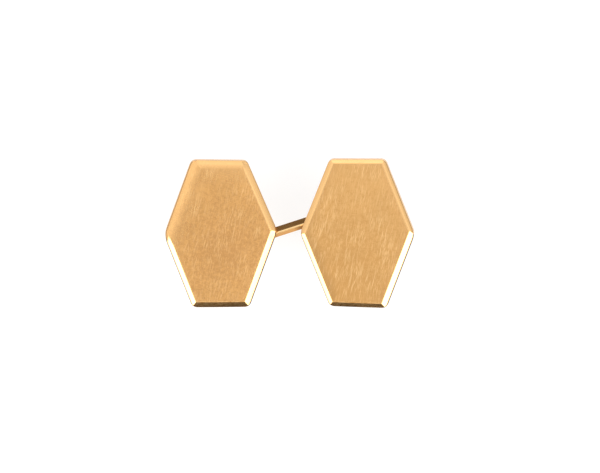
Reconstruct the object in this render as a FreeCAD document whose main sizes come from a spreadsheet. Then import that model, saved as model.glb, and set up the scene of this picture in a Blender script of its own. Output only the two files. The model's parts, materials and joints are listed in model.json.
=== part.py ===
"""Double-faced gold cufflink: two bevelled hexagonal heads on a loose bar link.

Each head is a pressed face tray closed by a flat back plate, with a wire bow pegged through the plate.
The link is a square rod set on edge, with a wire eye soldered into each end. The eyes hang on the bows,
so each head swings about the straight crossbar of its bow.

The part lies as it settles on a table: both eyes and one end of the right bow touch the floor, the heads
lean in until they rest on the bar, and the eyes have slid to opposite ends of their bows, the left one not
quite all the way.
Millimetres, +Z up, X across both heads, Y along the heads, origin under the middle of the part.
"""
import FreeCAD
import Part
import Sketcher
import enum
import math
import os
from FreeCAD import Placement, Rotation, Vector

# Driving sizes

SIZES = {
    "head_height": (16.0, "head, flat to flat along Y"),
    "head_width": (12.2, "head, tip to tip along X, before the tips are rounded"),
    "end_edge": (5.95, "straight edge at the top and bottom of the head"),
    "corner_radius": (0.7, "rounding of the four end corners in plan"),
    "tip_radius": (1.5, "rounding of the two side tips in plan"),
    "bevel_width": (0.58, "bevel, measured across the face"),
    "bevel_depth": (0.34, "bevel, measured down the side"),
    "rim_depth": (0.42, "upright wall of the tray below the bevel"),
    "sheet_thickness": (0.32, "gold sheet of the tray"),
    "back_thickness": (0.38, "back plate"),
    "back_edge_radius": (0.12, "soft outer edge of the back plate"),
    "vent_hole": (0.6, "hole that lets the hollow head breathe while it is soldered"),
    "vent_offset": (5.4, "vent hole, from the middle of the head towards its end"),
    "bow_wire": (0.8, "wire of the bow"),
    "bow_span": (7.7, "bow, leg to leg"),
    "bow_rise": (1.22, "crossbar of the bow, below the back plate"),
    "bow_bend": (0.7, "bend of the bow at the middle of its wire"),
    "peg_clearance": (0.02, "peg of the bow in the back plate, all round"),
    "solder_flare": (0.16, "solder round the foot of the bow, outwards"),
    "flare_height": (0.2, "solder round the foot of the bow, down the leg"),
    "eye_hole": (1.16, "hole of the link's eye"),
    "eye_wire": (0.44, "D-section wire of the link's eye, across and through"),
    "link_length": (15.81, "link, middle of eye to middle of eye"),
    "bar_width": (0.8, "square section of the bar, flat to flat"),
    "bar_edge_radius": (0.06, "long edges of the bar"),
    "solder_gap": (0.01, "solder between the bar's notched end and the eye"),
    "end_clearance": (0.25, "right eye to bow leg, with the eye slid to the end of its bow"),
    "left_slack": (0.54, "how far the left eye stops short of the end of its bow"),
    "rest_gap": (0.05, "head to bar, with the head folded down on the bar"),
}

doc = FreeCAD.newDocument("cufflink")
sheet = doc.addObject("Spreadsheet::Sheet", "sizes")
for row, (alias, (number, note)) in enumerate(SIZES.items(), start=1):
    sheet.set(f"A{row}", alias)
    sheet.set(f"B{row}", str(number))
    sheet.set(f"C{row}", note)
    sheet.setAlias(f"B{row}", alias)
doc.recompute()


def size(alias):
    """One driving size, read from the sheet."""
    return float(sheet.get(alias))


# Sketch and feature helpers

def new_body(label):
    """An empty body whose label names its file."""
    body = doc.addObject("PartDesign::Body", label)
    body.Label = label
    return body


def attach(body, item, role, height="0"):
    """Lays a sketch or primitive on one of the body's origin planes, raised along the plane's normal."""
    plane = next(feature for feature in body.Origin.OriginFeatures if feature.Role == role)
    item.AttachmentSupport = [(plane, "")]
    item.MapMode = "FlatFace"
    item.setExpression("AttachmentOffset.Base.z", height)
    return item


def new_sketch(body, role, name, height="0"):
    """A sketch on one of the body's origin planes."""
    return attach(body, body.newObject("Sketcher::SketchObject", name), role, height)


def bind(sketch, name, expression, *constraint):
    """Adds a named constraint whose value follows an expression."""
    index = sketch.addConstraint(Sketcher.Constraint(*constraint))
    sketch.renameConstraint(index, name)
    sketch.setExpression(f"Constraints.{name}", expression)


def draw_polygon(sketch, corners):
    """Draws a closed polygon with its corners tied together."""
    count = len(corners)
    for start, stop in zip(corners, corners[1:] + corners[:1]):
        sketch.addGeometry(Part.LineSegment(start, stop))
    for line in range(count):
        sketch.addConstraint(Sketcher.Constraint("Coincident", line, 2, (line + 1) % count, 1))


class Axis(enum.IntEnum):
    """A sketch's own axes, as its constraints number them."""

    X = -1
    Y = -2


def draw_hexagon(sketch, inset="0"):
    """Draws the head's hexagon, ends up and down and tips left and right, moved in by an expression."""
    half_width = size("head_width") / 2
    half_height = size("head_height") / 2
    half_end = size("end_edge") / 2
    draw_polygon(sketch, [
        Vector(half_end, half_height), Vector(half_width, 0), Vector(half_end, -half_height),
        Vector(-half_end, -half_height), Vector(-half_width, 0), Vector(-half_end, half_height),
    ])
    sketch.addConstraint(Sketcher.Constraint("Symmetric", 0, 1, 5, 1, Axis.Y))
    sketch.addConstraint(Sketcher.Constraint("Symmetric", 2, 1, 3, 1, Axis.Y))
    sketch.addConstraint(Sketcher.Constraint("Symmetric", 0, 1, 2, 1, Axis.X))
    sketch.addConstraint(Sketcher.Constraint("Symmetric", 1, 1, 4, 1, Axis.Y))
    sketch.addConstraint(Sketcher.Constraint("PointOnObject", 1, 1, Axis.X))
    taper = "(sizes.head_width - sizes.end_edge) / sizes.head_height"
    height = f"sizes.head_height - 2 * ({inset})"
    width = f"sizes.head_width - 2 * ({inset}) * sqrt(1 + pow({taper}, 2))"
    end = f"{width} - ({height}) * {taper}"
    bind(sketch, "width", width, "DistanceX", 4, 1, 1, 1, 2 * half_width)
    bind(sketch, "height", height, "DistanceY", 2, 1, 0, 1, 2 * half_height)
    bind(sketch, "end", end, "DistanceX", 5, 1, 0, 1, 2 * half_end)


def draw_circle_on_y(sketch, name, place, diameter):
    """Draws a circle centred on the sketch's Y axis, placed and sized by expressions."""
    circle = sketch.addGeometry(Part.Circle(Vector(0, 1, 0), Vector(0, 0, 1), 1))
    sketch.addConstraint(Sketcher.Constraint("PointOnObject", circle, 3, Axis.Y))
    bind(sketch, f"{name}_place", place, "DistanceY", Axis.X, 1, circle, 3, 1)
    bind(sketch, f"{name}_diameter", diameter, "Diameter", circle, 2)


def pad(body, sketch, name, length):
    """Raises a sketch to an expression's height."""
    feature = body.newObject("PartDesign::Pad", name)
    feature.Profile = sketch
    feature.setExpression("Length", length)
    doc.recompute()
    return feature


def round_edges(body, base, name, edges, radius):
    """Rounds the named edges of a feature to an expression's radius."""
    feature = body.newObject("PartDesign::Fillet", name)
    feature.Base = (base, edges)
    feature.setExpression("Radius", radius)
    doc.recompute()
    return feature


def edges_where(feature, test):
    """Names of a feature's edges that pass a test."""
    return [f"Edge{index}" for index, edge in enumerate(feature.Shape.Edges, start=1) if test(edge)]


def is_upright(edge):
    """True for a straight edge along Z."""
    box = edge.BoundBox
    return max(box.XLength, box.YLength) < 1e-6 < box.ZLength


def is_tip(edge):
    """True for an edge on the line through the head's two side tips."""
    return abs(edge.CenterOfMass.y) < 1e-6


def head_slab(body, name, thickness):
    """A sharp-cornered hexagonal slab of the head's outline."""
    outline = new_sketch(body, "XY_Plane", f"{name}_outline")
    draw_hexagon(outline)
    return pad(body, outline, f"{name}_slab", thickness)


def round_plan(body, name, base):
    """Rounds the corners and tips of a head's outline."""
    corners = edges_where(base, lambda edge: is_upright(edge) and not is_tip(edge))
    rounded = round_edges(body, base, f"{name}_corners", corners, "sizes.corner_radius")
    tips = edges_where(rounded, lambda edge: is_upright(edge) and is_tip(edge))
    return round_edges(body, rounded, f"{name}_tips", tips, "sizes.tip_radius")


# Pieces of a head, in the head's own frame: crossbar of the bow along Y at the origin, face towards +Z

def make_face(side):
    """Pressed face tray: hexagonal, bevelled round the face, hollow and open towards the back plate."""
    body = new_body(f"{side}_face")
    slab = head_slab(body, f"{side}_face", "sizes.rim_depth + sizes.bevel_depth")
    top = slab.Shape.BoundBox.ZMax
    bevel = body.newObject("PartDesign::Chamfer", f"{side}_face_bevel")
    bevel.Base = (slab, edges_where(slab, lambda edge: edge.BoundBox.ZMin > top - 1e-6))
    bevel.ChamferType = "Two distances"
    bevel.setExpression("Size", "sizes.bevel_depth")
    bevel.setExpression("Size2", "sizes.bevel_width")
    doc.recompute()
    round_plan(body, f"{side}_face", bevel)

    # The hollow follows the outside at one sheet thickness, along the wall, the bevel and the face
    slope = "sqrt(pow(sizes.bevel_width, 2) + pow(sizes.bevel_depth, 2))"
    wall_top = f"sizes.rim_depth - sizes.sheet_thickness * sizes.bevel_width / ({slope} + sizes.bevel_depth)"
    face_inset = (
        "sizes.bevel_width + sizes.sheet_thickness * sizes.bevel_depth"
        f" / ({slope} + sizes.bevel_width)"
    )
    face_under = "sizes.rim_depth + sizes.bevel_depth - sizes.sheet_thickness"
    levels = []
    for name, height, inset in (
        ("mouth", "0", "sizes.sheet_thickness"),
        ("wall", wall_top, "sizes.sheet_thickness"),
        ("face", face_under, face_inset),
    ):
        level = new_sketch(body, "XY_Plane", f"{side}_hollow_{name}", height)
        draw_hexagon(level, inset)
        levels.append(level)
    hollow = body.newObject("PartDesign::SubtractiveLoft", f"{side}_face_hollow")
    hollow.Profile = levels[0]
    hollow.Sections = levels[1:]
    hollow.Ruled = True
    doc.recompute()
    return body, "sizes.bow_rise + sizes.back_thickness"


def make_back_plate(side):
    """Flat back plate of the head's full outline, with peg holes for the bow and a vent hole."""
    body = new_body(f"{side}_back_plate")
    slab = head_slab(body, f"{side}_back", "sizes.back_thickness")
    blank = round_plan(body, f"{side}_back", slab)
    bottom = edges_where(blank, lambda edge: edge.BoundBox.ZMax < 1e-6)
    round_edges(body, blank, f"{side}_back_soft_edge", bottom, "sizes.back_edge_radius")
    holes = new_sketch(body, "XY_Plane", f"{side}_back_holes")
    peg = "sizes.bow_wire + 2 * sizes.peg_clearance"
    draw_circle_on_y(holes, "upper_peg", "sizes.bow_span / 2", peg)
    draw_circle_on_y(holes, "lower_peg", "-sizes.bow_span / 2", peg)
    draw_circle_on_y(holes, "vent", "sizes.vent_offset", "sizes.vent_hole")
    cut = body.newObject("PartDesign::Pocket", f"{side}_back_drilled")
    cut.Profile = holes
    cut.Type = "ThroughAll"
    cut.Reversed = True
    doc.recompute()
    return body, "sizes.bow_rise"


def make_bow(side):
    """U-shaped wire bow: two legs that peg through the back plate, a straight crossbar between them."""
    body = new_body(f"{side}_bow")
    peg_top = "sizes.bow_rise + sizes.back_thickness"
    half_span = size("bow_span") / 2
    bend = size("bow_bend")
    top = size("bow_rise") + size("back_thickness")
    route = new_sketch(body, "YZ_Plane", f"{side}_bow_route")
    route.addGeometry(Part.LineSegment(Vector(half_span, top), Vector(half_span, bend)))
    for start, centre in ((1.5 * math.pi, half_span - bend), (math.pi, bend - half_span)):
        circle = Part.Circle(Vector(centre, bend), Vector(0, 0, 1), bend)
        route.addGeometry(Part.ArcOfCircle(circle, start, start + 0.5 * math.pi))
    route.addGeometry(Part.LineSegment(Vector(half_span - bend, 0), Vector(bend - half_span, 0)))
    route.addGeometry(Part.LineSegment(Vector(-half_span, bend), Vector(-half_span, top)))
    leg, near_bend, far_bend, crossbar, far_leg = range(5)
    route.addConstraint(Sketcher.Constraint("Tangent", leg, 2, near_bend, 2))
    route.addConstraint(Sketcher.Constraint("Tangent", near_bend, 1, crossbar, 1))
    route.addConstraint(Sketcher.Constraint("Tangent", crossbar, 2, far_bend, 2))
    route.addConstraint(Sketcher.Constraint("Tangent", far_bend, 1, far_leg, 1))
    route.addConstraint(Sketcher.Constraint("Vertical", leg))
    route.addConstraint(Sketcher.Constraint("PointOnObject", crossbar, 1, Axis.X))
    route.addConstraint(Sketcher.Constraint("Symmetric", leg, 1, far_leg, 2, Axis.Y))
    route.addConstraint(Sketcher.Constraint("Equal", near_bend, far_bend))
    route.addConstraint(Sketcher.Constraint("Horizontal", crossbar))
    bind(route, "span", "sizes.bow_span", "DistanceX", far_leg, 2, leg, 1, 2 * half_span)
    bind(route, "top", peg_top, "DistanceY", Axis.X, 1, leg, 1, top)
    bind(route, "bend", "sizes.bow_bend", "Radius", near_bend, bend)
    section = new_sketch(body, "XY_Plane", f"{side}_bow_section", peg_top)
    draw_circle_on_y(section, "wire", "sizes.bow_span / 2", "sizes.bow_wire")
    wire = body.newObject("PartDesign::AdditivePipe", f"{side}_bow_wire")
    wire.Profile = section
    wire.Spine = (route, [])
    doc.recompute()
    for name, place in (("upper", "sizes.bow_span / 2"), ("lower", "-sizes.bow_span / 2")):
        flare = body.newObject("PartDesign::AdditiveCone", f"{side}_{name}_solder")
        attach(body, flare, "XY_Plane", "sizes.bow_rise - sizes.flare_height")
        flare.setExpression("AttachmentOffset.Base.y", place)
        flare.setExpression("Radius1", "sizes.bow_wire / 2")
        flare.setExpression("Radius2", "sizes.bow_wire / 2 + sizes.solder_flare")
        flare.setExpression("Height", "sizes.flare_height")
        doc.recompute()
    return body, "0"


# Pieces of the link, in the link's own frame: bar along X, eyes in the XZ plane

EYE_RADIUS = "(sizes.eye_hole + sizes.eye_wire) / 2"


def make_bar():
    """Square rod set on edge, with each end notched to seat round the wire of its eye."""
    body = new_body("link_bar")
    section = new_sketch(body, "YZ_Plane", "bar_section")
    reach = size("bar_width") / math.sqrt(2)
    draw_polygon(section, [Vector(reach, 0), Vector(0, reach), Vector(-reach, 0), Vector(0, -reach)])
    for corner, axis in ((0, Axis.X), (1, Axis.Y)):
        section.addConstraint(Sketcher.Constraint("PointOnObject", corner, 1, axis))
    section.addConstraint(Sketcher.Constraint("Symmetric", 0, 1, 2, 1, Axis.X, 1))
    section.addConstraint(Sketcher.Constraint("Symmetric", 1, 1, 3, 1, Axis.X, 1))
    diagonal = "sizes.bar_width * sqrt(2)"
    bind(section, "across", diagonal, "DistanceX", 2, 1, 0, 1, 2 * reach)
    bind(section, "upright", diagonal, "DistanceY", 3, 1, 1, 1, 2 * reach)
    rod = pad(body, section, "bar_rod", f"sizes.link_length - 2 * {EYE_RADIUS}")
    rod.Midplane = True
    doc.recompute()
    long_edges = edges_where(rod, lambda edge: edge.BoundBox.XLength > size("bar_width") * 2)
    round_edges(body, rod, "bar_soft_edges", long_edges, "sizes.bar_edge_radius")
    for side, place in (("left", "-sizes.link_length / 2"), ("right", "sizes.link_length / 2")):
        notch = body.newObject("PartDesign::SubtractiveTorus", f"bar_{side}_notch")
        attach(body, notch, "XZ_Plane")
        notch.setExpression("AttachmentOffset.Base.x", place)
        notch.setExpression("Radius1", EYE_RADIUS)
        notch.setExpression("Radius2", "sizes.eye_wire / 2 + sizes.solder_gap")
        doc.recompute()
    return body


def make_eye(side):
    """Closed ring of D-section wire, flat side in, so that it rides on the bow over its full width."""
    body = new_body(f"{side}_eye_ring")
    hole = size("eye_hole") / 2
    half_wire = size("eye_wire") / 2
    centre = hole + half_wire
    section = new_sketch(body, "XZ_Plane", f"{side}_eye_section")
    section.addGeometry(Part.LineSegment(Vector(hole, half_wire), Vector(hole, -half_wire)))
    section.addGeometry(Part.LineSegment(Vector(hole, -half_wire), Vector(centre, -half_wire)))
    circle = Part.Circle(Vector(centre, 0), Vector(0, 0, 1), half_wire)
    section.addGeometry(Part.ArcOfCircle(circle, -0.5 * math.pi, 0.5 * math.pi))
    section.addGeometry(Part.LineSegment(Vector(centre, half_wire), Vector(hole, half_wire)))
    flat, near_side, crown, far_side = range(4)
    section.addConstraint(Sketcher.Constraint("Coincident", flat, 2, near_side, 1))
    section.addConstraint(Sketcher.Constraint("Coincident", far_side, 2, flat, 1))
    section.addConstraint(Sketcher.Constraint("Tangent", near_side, 2, crown, 1))
    section.addConstraint(Sketcher.Constraint("Tangent", crown, 2, far_side, 1))
    section.addConstraint(Sketcher.Constraint("Vertical", flat))
    section.addConstraint(Sketcher.Constraint("Horizontal", near_side))
    section.addConstraint(Sketcher.Constraint("PointOnObject", crown, 3, Axis.X))
    bind(section, "hole", "sizes.eye_hole / 2", "DistanceX", Axis.Y, 1, flat, 1, hole)
    bind(section, "centre", EYE_RADIUS, "DistanceX", Axis.Y, 1, crown, 3, centre)
    bind(section, "crown", "sizes.eye_wire / 2", "Radius", crown, half_wire)
    ring = body.newObject("PartDesign::Revolution", f"{side}_eye_turn")
    ring.Profile = section
    ring.ReferenceAxis = (section, ["V_Axis"])
    doc.recompute()
    return body


# How the part settles on a table

EYE_REACH = (size("eye_hole") + size("eye_wire")) / 2
EYE_WIRE_RADIUS = size("eye_wire") / 2
HEAD_SHIFT = size("left_slack") / 2
WORLD_Y = Vector(0, 1, 0)
WORLD_Z = Vector(0, 0, 1)


def link_slant():
    """Angle of the bar in plan, in degrees, with the eyes slid to opposite ends of their bows."""
    room = size("bow_span") / 2 - size("bow_wire") / 2 - size("end_clearance") - EYE_WIRE_RADIUS
    slide = room - size("left_slack") / 2
    return math.degrees(math.asin(slide / (size("link_length") / 2 + EYE_REACH)))


def head_lean():
    """Angle by which a head leans in, in degrees, until the edge of its back rests on the bar's ridge."""
    half_tip = math.atan2(size("head_height"), size("head_width") - size("end_edge"))
    reach = size("head_width") / 2 - size("tip_radius") * (1 / math.sin(half_tip) - 1)
    ridge = size("bar_width") / math.sqrt(2) + size("rest_gap")
    rise = size("bow_rise")
    return math.degrees(math.acos(ridge / math.hypot(rise, reach)) - math.atan2(reach, rise))


def settled_tilt(slant, lean):
    """Angle by which the part rolls about the bar, in degrees, until the right bow's end meets the floor."""
    bar_direction = Rotation(WORLD_Z, slant).multVec(Vector(1, 0, 0))
    slip = size("link_length") / 2 * math.sin(math.radians(slant))
    straight_end = slip + HEAD_SHIFT + size("bow_span") / 2 - size("bow_bend")
    low, high = 0.0, 45.0
    while high - low > 1e-6:
        tilt = (low + high) / 2
        roll = Rotation(bar_direction, tilt)
        along = roll.multVec(-WORLD_Y)
        up = roll.multVec(Rotation(WORLD_Y, -lean).multVec(WORLD_Z))
        bend_centre = along * straight_end + up * size("bow_bend")
        bow_low = bend_centre.z - size("bow_bend") * math.hypot(along.z, up.z) - size("bow_wire") / 2
        eye_low = -EYE_REACH * math.cos(math.radians(tilt)) - EYE_WIRE_RADIUS
        if bow_low > eye_low:
            low = tilt
        else:
            high = tilt
    return high


# The assembly

slant = link_slant()
lean = head_lean()
tilt = settled_tilt(slant, lean)
pitch = size("link_length") * math.cos(math.radians(slant))
roll = Placement(Vector(), Rotation(Rotation(WORLD_Z, slant).multVec(Vector(1, 0, 0)), tilt))
link_frame = roll * Placement(Vector(), Rotation(WORLD_Z, slant))
head_frames = {
    "left": roll * Placement(Vector(-pitch / 2, -HEAD_SHIFT, 0), Rotation(WORLD_Y, lean)),
    "right": roll * Placement(Vector(pitch / 2, -HEAD_SHIFT, 0), Rotation(WORLD_Y, -lean)),
}

pieces = []
for side, frame in head_frames.items():
    for make in (make_face, make_back_plate, make_bow):
        body, height = make(side)
        raised = Vector(0, 0, doc.sizes.evalExpression(height))
        pieces.append((body, frame * Placement(raised, Rotation())))
pieces.append((make_bar(), link_frame))
for side, end in (("left", -1), ("right", 1)):
    centre = Vector(end * size("link_length") / 2, 0, 0)
    upright = Rotation(Vector(1, 0, 0), 90)
    pieces.append((make_eye(side), link_frame * Placement(centre, upright)))
for piece, place in pieces:
    piece.Placement = place
doc.recompute()

# The floor is under the lowest point, and the origin under the middle of the part's box
box = FreeCAD.BoundBox()
for piece, place in pieces:
    box.add(piece.Shape.optimalBoundingBox(False, False))
seat = Placement(Vector(-box.Center.x, -box.Center.y, -box.ZMin), Rotation())
for piece, place in pieces:
    piece.Placement = seat * place
doc.recompute()

# Checks, then the files

for item in doc.Objects:
    if "Invalid" in item.State or "Error" in item.State:
        raise RuntimeError(f"{item.Name} failed: {item.State}")
for piece, place in pieces:
    shape = piece.Shape
    if shape.isNull() or not shape.isValid() or len(shape.Solids) != 1:
        raise RuntimeError(f"{piece.Label} is not one valid solid")

os.makedirs("parts", exist_ok=True)
for piece, place in pieces:
    piece.Shape.exportStep(f"parts/{piece.Label}.step")
    print(f"{piece.Label}: {piece.Shape.Volume:.3f} mm3")

print(f"slant {slant:.3f}, lean {lean:.3f}, tilt {tilt:.3f} degrees, pitch {pitch:.4f} mm")
face_level = size("bow_rise") + size("back_thickness") + size("rim_depth") + size("bevel_depth")
for side, frame in head_frames.items():
    seated = seat * frame
    crossbar = seated.multVec(Vector())
    face = seated.multVec(Vector(0, 0, face_level))
    print(f"{side} crossbar at {tuple(crossbar)} along {tuple(seated.Rotation.multVec(WORLD_Y))}")
    print(f"{side} face at {tuple(face)} facing {tuple(seated.Rotation.multVec(WORLD_Z))}")
bar = seat * link_frame
print(f"bar middle at {tuple(bar.multVec(Vector()))} along {tuple(bar.Rotation.multVec(Vector(1, 0, 0)))}")
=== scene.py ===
"""Looks of a double-faced gold cufflink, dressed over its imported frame.

Two hexagonal heads, satin on the face and burnished on the bevel, hang by wire bows on the eyes of a square
bar link. Sizes are in millimetres, and turn to metres where a mesh, a bump or the camera takes them. Each
head is built in its own frame: the crossbar of its bow along Y at the origin, its face towards +Z.
"""

import json
import logging
import math
from dataclasses import dataclass, replace
from enum import Enum
from typing import ClassVar, Sequence

import bmesh
import bpy
from mathutils import Matrix, Vector


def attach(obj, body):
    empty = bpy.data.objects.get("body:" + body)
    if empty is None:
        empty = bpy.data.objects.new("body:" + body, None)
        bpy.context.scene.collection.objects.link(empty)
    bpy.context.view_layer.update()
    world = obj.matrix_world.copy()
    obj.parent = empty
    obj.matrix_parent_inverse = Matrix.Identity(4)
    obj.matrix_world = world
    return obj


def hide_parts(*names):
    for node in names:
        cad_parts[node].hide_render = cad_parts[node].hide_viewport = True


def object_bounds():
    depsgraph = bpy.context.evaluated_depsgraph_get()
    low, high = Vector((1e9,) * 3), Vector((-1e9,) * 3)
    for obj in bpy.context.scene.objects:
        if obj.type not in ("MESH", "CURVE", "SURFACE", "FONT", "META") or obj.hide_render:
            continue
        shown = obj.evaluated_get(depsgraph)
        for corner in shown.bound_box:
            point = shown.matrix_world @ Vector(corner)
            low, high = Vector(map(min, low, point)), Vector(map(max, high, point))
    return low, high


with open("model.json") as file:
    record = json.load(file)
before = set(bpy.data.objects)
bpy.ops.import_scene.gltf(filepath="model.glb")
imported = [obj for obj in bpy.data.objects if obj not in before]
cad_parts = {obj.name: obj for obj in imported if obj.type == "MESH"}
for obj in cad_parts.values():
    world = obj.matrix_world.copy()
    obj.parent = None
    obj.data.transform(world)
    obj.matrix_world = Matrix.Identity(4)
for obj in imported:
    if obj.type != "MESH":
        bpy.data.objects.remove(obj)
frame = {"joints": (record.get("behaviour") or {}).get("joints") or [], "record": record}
CAD_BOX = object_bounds()

MM = 0.001
PHOTO_WIDTH = 600
PHOTO_HEIGHT = 473
WHITE = (1.0, 1.0, 1.0, 1.0)
QUARTER_TURN = 0.5 * math.pi

log = logging.getLogger("cufflink")

Colour = tuple[float, float, float, float]
Ring = list[Vector]
Verts = list[bmesh.types.BMVert]
Mesh = bmesh.types.BMesh
Piece = bpy.types.Object
Material = bpy.types.Material
Tree = bpy.types.NodeTree
Socket = bpy.types.NodeSocket


class Side(Enum):
    """The two heads, as they lie from left to right."""

    LEFT = "left"
    RIGHT = "right"


class Lay(Enum):
    """Axis of a piece along which its wire was drawn, in degrees clockwise from Y."""

    ALONG_Y = 0.0
    ALONG_X = 90.0


class Crease(Enum):
    """Turn in degrees past which an edge stays sharp, for each kind of work."""

    PRESSED = 13.0
    PLATE = 20.0
    WIRE = 30.0


# Shared helpers


def linear(code: str) -> Colour:
    """Turns a colour into the linear values that a shader takes.

    Args:
        code: sRGB colour as six hex digits.

    Returns:
        Linear red, green, blue and an alpha of 1.
    """
    shares = [int(code[start:start + 2], 16) / 255 for start in (0, 2, 4)]
    red, green, blue = (
        share / 12.92 if share <= 0.04045 else ((share + 0.055) / 1.055) ** 2.4 for share in shares
    )
    return red, green, blue, 1.0


def add_node(
    tree: Tree,
    kind: str,
    feeds: dict[str | int, object] | None = None,
    **settings: object,
) -> bpy.types.Node:
    """Adds a node with its settings and feeds its sockets.

    Args:
        tree: node tree that takes the node.
        kind: type of the node, without the words that all types start with.
        feeds: for each socket, by name or number, a constant or the output that is linked to it.
        settings: properties of the node itself.

    Returns:
        The new node.
    """
    node = tree.nodes.new(f"ShaderNode{kind}")
    for name, setting in settings.items():
        setattr(node, name, setting)
    for key, feed in (feeds or {}).items():
        socket = node.inputs[key]
        if isinstance(feed, Socket):
            tree.links.new(feed, socket)
        else:
            socket.default_value = feed
    return node


def new_metal(name: str) -> Material:
    """Starts the material of a bare metal, which keeps the shader's default IOR.

    Args:
        name: name of the material.

    Returns:
        The material, with its colour, roughness and relief still to come.
    """
    made = bpy.data.materials.new(name)
    made.use_nodes = True
    made.node_tree.nodes["Principled BSDF"].inputs["Metallic"].default_value = 1.0
    return made


def feed_metal(made: Material, colour: Socket, roughness: Socket, relief: Socket) -> None:
    """Links what was drawn for a metal to its shader.

    Args:
        made: the metal.
        colour: its colour.
        roughness: its roughness.
        relief: its normal.
    """
    shader = made.node_tree.nodes["Principled BSDF"]
    for name, feed in (("Base Color", colour), ("Roughness", roughness), ("Normal", relief)):
        made.node_tree.links.new(feed, shader.inputs[name])


def skin(mesh: Mesh, rings: Sequence[Ring], looped: bool = False) -> list[Verts]:
    """Covers a row of equal closed rings with quads.

    Args:
        mesh: mesh that takes the faces.
        rings: rings in order, each with the same number of points, in millimetres.
        looped: joins the last ring to the first.

    Returns:
        The vertices of each ring.
    """
    rows = [[mesh.verts.new(point * MM) for point in ring] for ring in rings]
    pairs = list(zip(rows, rows[1:]))
    if looped:
        pairs.append((rows[-1], rows[0]))
    for near, far in pairs:
        for index in range(len(near)):
            after = (index + 1) % len(near)
            mesh.faces.new((near[index], near[after], far[after], far[index]))
    return rows


def loop_edges(mesh: Mesh, row: Verts) -> list[bmesh.types.BMEdge]:
    """Finds or makes the edges round a closed row of vertices.

    Args:
        mesh: mesh that holds the vertices.
        row: vertices in order.

    Returns:
        One edge for each vertex.
    """
    edges = []
    for start, stop in zip(row, [*row[1:], row[0]]):
        edges.append(mesh.edges.get((start, stop)) or mesh.edges.new((start, stop)))
    return edges


def circle(centre: Vector, across: Vector, along: Vector, radius: float, count: int) -> Ring:
    """Points round a circle.

    Args:
        centre: middle of the circle.
        across: unit vector to the first point.
        along: unit vector to the point a quarter turn later.
        radius: radius of the circle.
        count: number of points.

    Returns:
        The points in order.
    """
    turns = [2 * math.pi * index / count for index in range(count)]
    spokes = [across * math.cos(turn) + along * math.sin(turn) for turn in turns]
    return [centre + spoke * radius for spoke in spokes]


def make_piece(mesh: Mesh, name: str, place: Matrix, crease: Crease) -> Piece:
    """Turns a finished mesh into a shaded object in its place, and notes its own frame for the marks.

    Args:
        mesh: finished mesh in the piece's own frame, freed here.
        name: name of the piece.
        place: the piece's own frame, in metres.
        crease: which of its edges stay sharp.

    Returns:
        The new object.
    """
    bmesh.ops.recalc_face_normals(mesh, faces=mesh.faces)
    bench = mesh.verts.layers.float_vector.new("bench")
    for vert in mesh.verts:
        vert[bench] = vert.co / MM
    mesh.transform(place)
    data = bpy.data.meshes.new(name)
    mesh.to_mesh(data)
    mesh.free()
    data.shade_smooth()
    data.set_sharp_from_angle(angle=math.radians(crease.value))
    piece = bpy.data.objects.new(name, data)
    bpy.context.scene.collection.objects.link(piece)
    even = piece.modifiers.new("even_normals", "WEIGHTED_NORMAL")
    even.keep_sharp = True
    return piece


def seat(piece: Piece, body: str, node: str, finish: Material) -> None:
    """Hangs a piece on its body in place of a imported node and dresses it.

    Args:
        piece: the new piece.
        body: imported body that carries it.
        node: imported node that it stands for.
        finish: material of the piece.
    """
    piece.data.materials.append(finish)
    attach(piece, body)
    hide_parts(node)


# Finishes


@dataclass(frozen=True)
class Marks:
    """One kind of mark on the metal, drawn by noise at its real size in the piece's own frame.

    A mark is so wide across its lay and so long along it, and the lay turns clockwise from the piece's Y
    axis. Where the noise is faint the mark is at its weakest, and where it is full, at its strongest. The
    shift keeps kinds of mark from lying in the same places.
    """

    across_mm: float
    along_mm: float
    lay_deg: float = 0.0
    detail: float = 1.0
    shift: float = 0.0
    faint: float = 0.0
    full: float = 1.0

    def height(self, tree: Tree, seed: float = 0.0) -> Socket:
        """Noise in the shape of the marks.

        Args:
            tree: node tree that takes the nodes.
            seed: moves the marks to other places.

        Returns:
            The noise, about 0.5 on average.
        """
        place = add_node(tree, "Attribute", attribute_name="bench").outputs["Vector"]
        lay = {"Vector": place, "Angle": math.radians(self.lay_deg)}
        turned = add_node(tree, "VectorRotate", lay, rotation_type="Z_AXIS")
        grains = (1 / self.across_mm, 1 / self.along_mm, 1 / self.across_mm)
        steps = {0: turned.outputs[0], 1: grains, 2: (seed + self.shift,) * 3}
        scaled = add_node(tree, "VectorMath", steps, operation="MULTIPLY_ADD")
        fine = {"Vector": scaled.outputs[0], "Scale": 1.0, "Detail": self.detail}
        return add_node(tree, "TexNoise", fine).outputs["Fac"]

    def shown(self, tree: Tree, seed: float = 0.0, weakest: float = 0.0, strongest: float = 1.0) -> Socket:
        """How strongly the marks show.

        Args:
            tree: node tree that takes the nodes.
            seed: moves the marks to other places.
            weakest: value where the noise is faint.
            strongest: value where the noise is full.

        Returns:
            The value, which goes softly from one to the other.
        """
        noise = {"Value": self.height(tree, seed), "From Min": self.faint, "From Max": self.full}
        ends = {"To Min": weakest, "To Max": strongest}
        return add_node(tree, "MapRange", noise | ends, interpolation_type="SMOOTHSTEP").outputs[0]


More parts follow.
